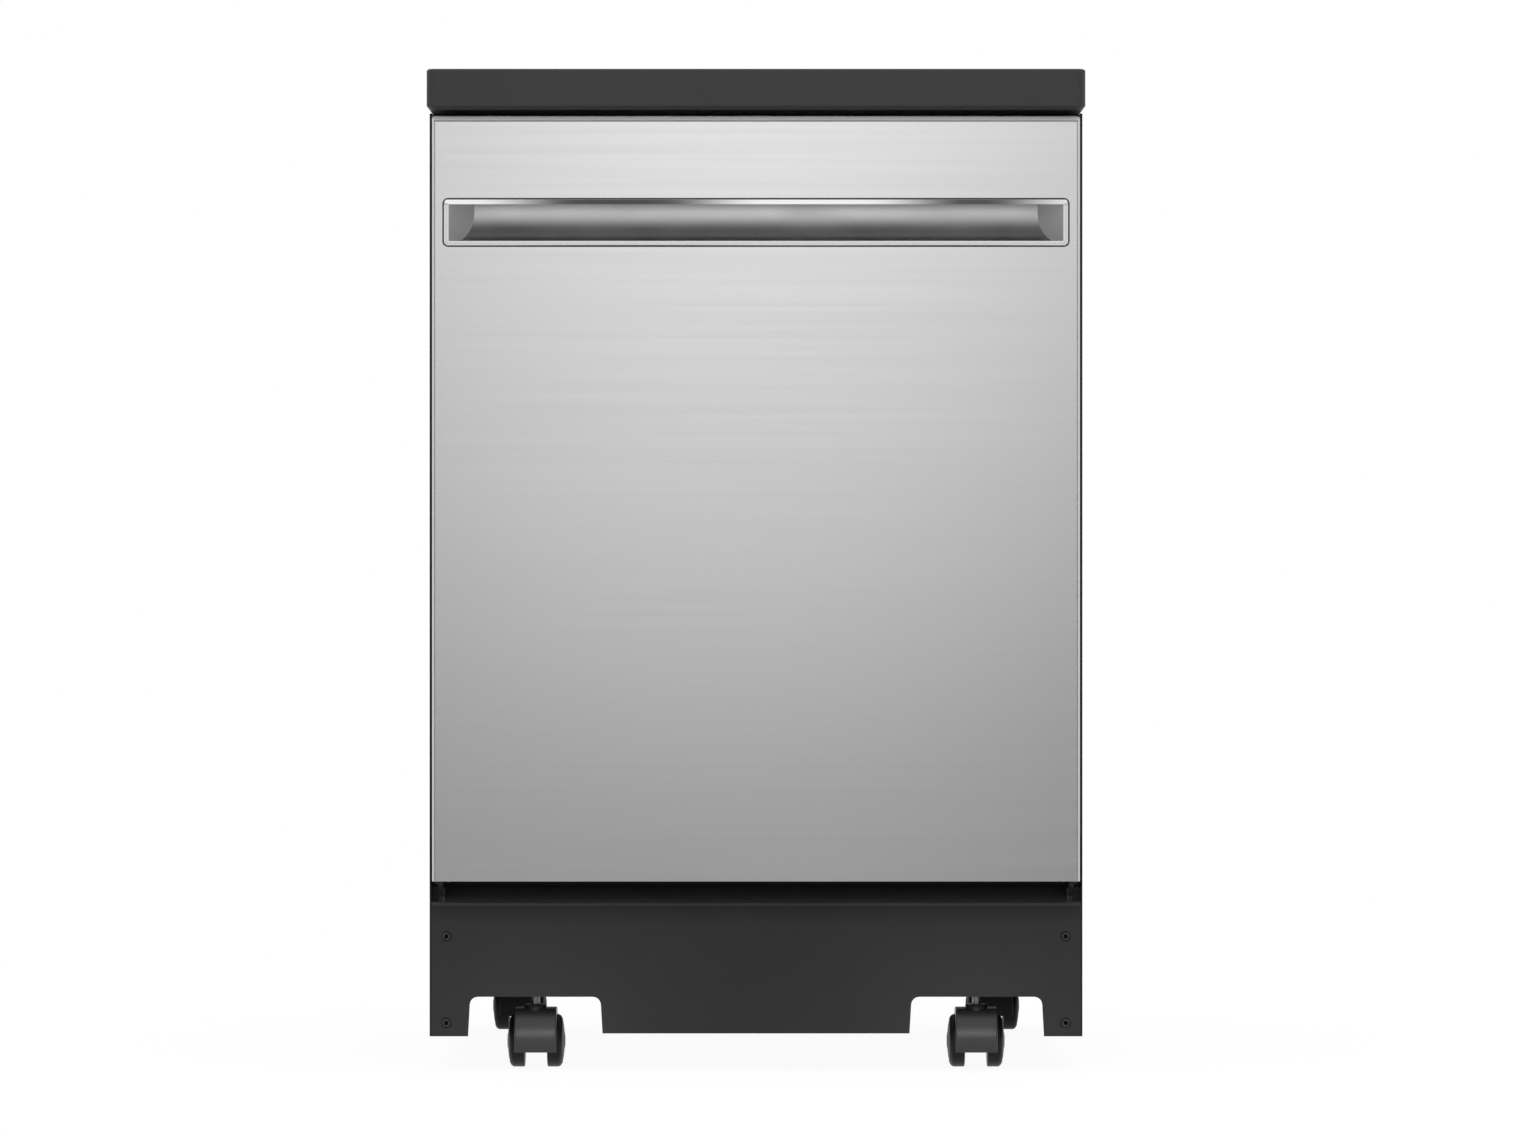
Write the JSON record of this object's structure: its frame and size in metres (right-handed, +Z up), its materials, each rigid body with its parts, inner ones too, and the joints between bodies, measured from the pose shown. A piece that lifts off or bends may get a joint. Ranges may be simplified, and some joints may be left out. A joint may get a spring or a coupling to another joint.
{
  "type": "portable dishwasher",
  "caption": "Portable dishwasher on swivel casters: stainless drop-down door with a pocket handle, dark worktop and toe kick, steel tub with sliding racks and spray arms.",
  "frame": {"origin": "on the floor, under the middle of the worktop", "axes": "+Z up, the door faces -Y, +X to the right of someone facing the door"},
  "size_m": [0.616, 0.67, 0.941],
  "materials": {
    "worktop_laminate": "matt dark grey laminate on board",
    "cabinet_paint": "satin black paint",
    "kick_paint": "satin dark grey paint",
    "zinc_sheet": "galvanised sheet",
    "brushed_stainless": "horizontal brushed grain",
    "tub_stainless": "plain satin stainless",
    "polished_trim": "polished bright",
    "bright_steel": "bright steel",
    "screw_black": "black oxide",
    "gasket_rubber": "matt",
    "black_plastic": "fine texture",
    "caster_plastic": "satin moulded",
    "grey_plastic": "satin moulded",
    "white_plastic": "satin moulded",
    "motor_paint": "motor casing",
    "rack_coat": "vinyl-coated wire"
  },
  "bodies": {
    "cabinet": {"worktop": "worktop_laminate", "side_panel_left": "cabinet_paint", "side_panel_right": "cabinet_paint", "rear_panel": "zinc_sheet", "hose_bay": "black_plastic", "base_frame": "cabinet_paint", "toe_kick": "kick_paint", "toe_kick_screw_upper_left": "screw_black", "toe_kick_screw_upper_right": "screw_black", "toe_kick_screw_lower_left": "screw_black", "toe_kick_screw_lower_right": "screw_black", "tub": "tub_stainless", "tub_gasket": "gasket_rubber", "sump": "black_plastic", "wash_pump": "motor_paint", "drain_pump": "grey_plastic", "inlet_valve": "white_plastic", "heating_element": "bright_steel", "spray_riser": "grey_plastic", "filter_plate": "tub_stainless", "latch_strike": "bright_steel", "rack_rail_left": "tub_stainless", "rack_rail_right": "tub_stainless", "door_spring_left": "bright_steel", "door_spring_right": "bright_steel", "caster_stem_front_left": "bright_steel", "caster_stem_front_right": "bright_steel", "caster_stem_rear_left": "bright_steel", "caster_stem_rear_right": "bright_steel"},
    "door": {"door_outer_panel": "brushed_stainless", "handle_pocket": "polished_trim", "door_inner_panel": "tub_stainless", "control_fascia": "black_plastic", "dispenser_body": "grey_plastic", "door_hinge_left": "cabinet_paint", "door_hinge_right": "cabinet_paint"},
    "detergent_lid": {"dispenser_lid": "white_plastic"},
    "rinse_aid_cap": {"rinse_cap": "black_plastic"},
    "start_key": {"start_button": "grey_plastic"},
    "cycle_key": {"cycle_button": "grey_plastic"},
    "lower_arm": {"lower_spray_arm": "grey_plastic"},
    "filter": {"filter_cylinder": "grey_plastic"},
    "overfill_float": {"float": "grey_plastic"},
    "upper_rack_body": {"upper_rack": "rack_coat", "upper_feed_tube": "grey_plastic"},
    "upper_arm": {"upper_spray_arm": "grey_plastic"},
    "lower_rack_body": {"lower_rack": "rack_coat", "silverware_basket": "grey_plastic"},
    "caster_front_left": {"caster_hood_front_left": "caster_plastic"},
    "wheel_front_left_inner": {"caster_wheel_front_left_inner": "caster_plastic"},
    "wheel_front_left_outer": {"caster_wheel_front_left_outer": "caster_plastic"},
    "caster_front_right": {"caster_hood_front_right": "caster_plastic"},
    "wheel_front_right_inner": {"caster_wheel_front_right_inner": "caster_plastic"},
    "wheel_front_right_outer": {"caster_wheel_front_right_outer": "caster_plastic"},
    "caster_rear_left": {"caster_hood_rear_left": "caster_plastic"},
    "wheel_rear_left_inner": {"caster_wheel_rear_left_inner": "caster_plastic"},
    "wheel_rear_left_outer": {"caster_wheel_rear_left_outer": "caster_plastic"},
    "caster_rear_right": {"caster_hood_rear_right": "caster_plastic"},
    "wheel_rear_right_inner": {"caster_wheel_rear_right_inner": "caster_plastic"},
    "wheel_rear_right_outer": {"caster_wheel_rear_right_outer": "caster_plastic"}
  },
  "joints": [
    {"name": "door_hinge", "type": "hinge", "parent": "cabinet", "child": "door", "pos_m": [0, -0.3, 0.186], "axis": [1, 0, 0], "range_deg": [0, 90]},
    {"name": "detergent_lid_slide", "type": "slide", "parent": "door", "child": "detergent_lid", "axis": [1, 0, 0], "range_m": [0, 0.066]},
    {"name": "rinse_cap_turn", "type": "hinge", "parent": "door", "child": "rinse_aid_cap", "pos_m": [0.07, -0.2714, 0.523], "axis": [0, 1, 0], "range_deg": [0, 90]},
    {"name": "start_button_press", "type": "slide", "parent": "door", "child": "start_key", "axis": [0, 0, -1], "range_m": [0, 0.001], "stiffness_N_per_m": 800, "springref_m": -0.001},
    {"name": "cycle_button_press", "type": "slide", "parent": "door", "child": "cycle_key", "axis": [0, 0, -1], "range_m": [0, 0.001], "stiffness_N_per_m": 800, "springref_m": -0.001},
    {"name": "lower_arm_spin", "type": "hinge", "parent": "cabinet", "child": "lower_arm", "pos_m": [0, -0.02, 0.222], "axis": [0, 0, 1], "continuous": true},
    {"name": "filter_twist", "type": "hinge", "parent": "cabinet", "child": "filter", "pos_m": [0, 0.024, 0.168], "axis": [0, 0, 1], "range_deg": [0, 40]},
    {"name": "float_rise", "type": "slide", "parent": "cabinet", "child": "overfill_float", "axis": [0, 0, 1], "range_m": [0, 0.008]},
    {"name": "upper_rack_slide", "type": "slide", "parent": "cabinet", "child": "upper_rack_body", "axis": [0, -1, 0], "range_m": [0, 0.4315]},
    {"name": "upper_arm_spin", "type": "hinge", "parent": "upper_rack_body", "child": "upper_arm", "pos_m": [0, -0.02, 0.5794], "axis": [0, 0, 1], "continuous": true},
    {"name": "lower_rack_slide", "type": "slide", "parent": "cabinet", "child": "lower_rack_body", "axis": [0, -1, 0], "range_m": [0, 0.1735]},
    {"name": "caster_front_left_swivel", "type": "hinge", "parent": "cabinet", "child": "caster_front_left", "pos_m": [-0.209, -0.24, 0.045], "axis": [0, 0, 1], "continuous": true},
    {"name": "wheel_front_left_inner_roll", "type": "hinge", "parent": "caster_front_left", "child": "wheel_front_left_inner", "pos_m": [-0.209, -0.222, 0.025], "axis": [1, 0, 0], "continuous": true},
    {"name": "wheel_front_left_outer_roll", "type": "hinge", "parent": "caster_front_left", "child": "wheel_front_left_outer", "pos_m": [-0.209, -0.222, 0.025], "axis": [1, 0, 0], "continuous": true},
    {"name": "caster_front_right_swivel", "type": "hinge", "parent": "cabinet", "child": "caster_front_right", "pos_m": [0.209, -0.24, 0.045], "axis": [0, 0, 1], "continuous": true},
    {"name": "wheel_front_right_inner_roll", "type": "hinge", "parent": "caster_front_right", "child": "wheel_front_right_inner", "pos_m": [0.209, -0.222, 0.025], "axis": [1, 0, 0], "continuous": true},
    {"name": "wheel_front_right_outer_roll", "type": "hinge", "parent": "caster_front_right", "child": "wheel_front_right_outer", "pos_m": [0.209, -0.222, 0.025], "axis": [1, 0, 0], "continuous": true},
    {"name": "caster_rear_left_swivel", "type": "hinge", "parent": "cabinet", "child": "caster_rear_left", "pos_m": [-0.243, 0.255, 0.045], "axis": [0, 0, 1], "continuous": true},
    {"name": "wheel_rear_left_inner_roll", "type": "hinge", "parent": "caster_rear_left", "child": "wheel_rear_left_inner", "pos_m": [-0.243, 0.273, 0.025], "axis": [1, 0, 0], "continuous": true},
    {"name": "wheel_rear_left_outer_roll", "type": "hinge", "parent": "caster_rear_left", "child": "wheel_rear_left_outer", "pos_m": [-0.243, 0.273, 0.025], "axis": [1, 0, 0], "continuous": true},
    {"name": "caster_rear_right_swivel", "type": "hinge", "parent": "cabinet", "child": "caster_rear_right", "pos_m": [0.243, 0.255, 0.045], "axis": [0, 0, 1], "continuous": true},
    {"name": "wheel_rear_right_inner_roll", "type": "hinge", "parent": "caster_rear_right", "child": "wheel_rear_right_inner", "pos_m": [0.243, 0.273, 0.025], "axis": [1, 0, 0], "continuous": true},
    {"name": "wheel_rear_right_outer_roll", "type": "hinge", "parent": "caster_rear_right", "child": "wheel_rear_right_outer", "pos_m": [0.243, 0.273, 0.025], "axis": [1, 0, 0], "continuous": true}
  ],
  "couplings": [
    {"joint": "upper_rack_slide", "follows": "door_hinge", "m_per_rad": 0.2738},
    {"joint": "lower_rack_slide", "follows": "door_hinge", "m_per_rad": 0.11}
  ]
}
